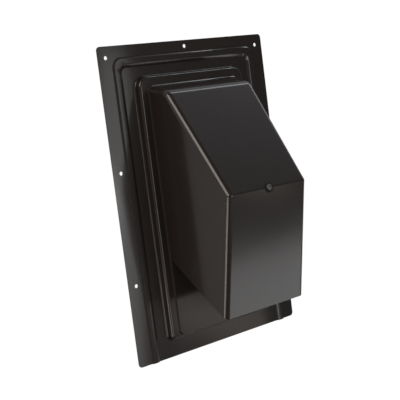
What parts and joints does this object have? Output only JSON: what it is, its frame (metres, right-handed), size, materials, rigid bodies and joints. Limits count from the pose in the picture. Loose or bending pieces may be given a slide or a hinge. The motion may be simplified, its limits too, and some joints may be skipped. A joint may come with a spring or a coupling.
{
  "type": "roof vent cap",
  "caption": "Black sheet-steel roof vent cap: a beaded flashing plate carries a folded hood over a round duct collar with a hinged damper and a bird screen in its slanted mouth.",
  "frame": {"origin": "centre of the flashing's underside, on the roof surface", "axes": "+Z off the roof, +Y up the roof, towards the end with the closed back of the hood, +X across"},
  "size_m": [0.222, 0.318, 0.1016],
  "materials": {
    "black_enamel": "satin gloss black baked enamel",
    "screen_enamel": "black enamel on pierced steel",
    "mill_aluminium": "mill finish sheet",
    "zinc_plate": "bright zinc plate",
    "rivet_metal": "dark steel rivet"
  },
  "bodies": {
    "cap": {"base_flashing": "black_enamel", "hood": "black_enamel", "duct_collar": "black_enamel", "hinge_bracket_left": "zinc_plate", "hinge_bracket_right": "zinc_plate", "hinge_rod": "zinc_plate", "damper_stop": "zinc_plate", "fold_rivet": "rivet_metal", "bird_screen": "screen_enamel", "collar_rivets": "rivet_metal", "hood_rivets": "rivet_metal", "bracket_rivets": "rivet_metal", "screen_rivets": "rivet_metal"},
    "damper": {"damper_flap": "mill_aluminium"}
  },
  "joints": [
    {"name": "damper_hinge", "type": "hinge", "parent": "cap", "child": "damper", "pos_m": [0, 0.0836, 0.02866], "axis": [-1, 0, 0], "range_deg": [0, 33]}
  ]
}
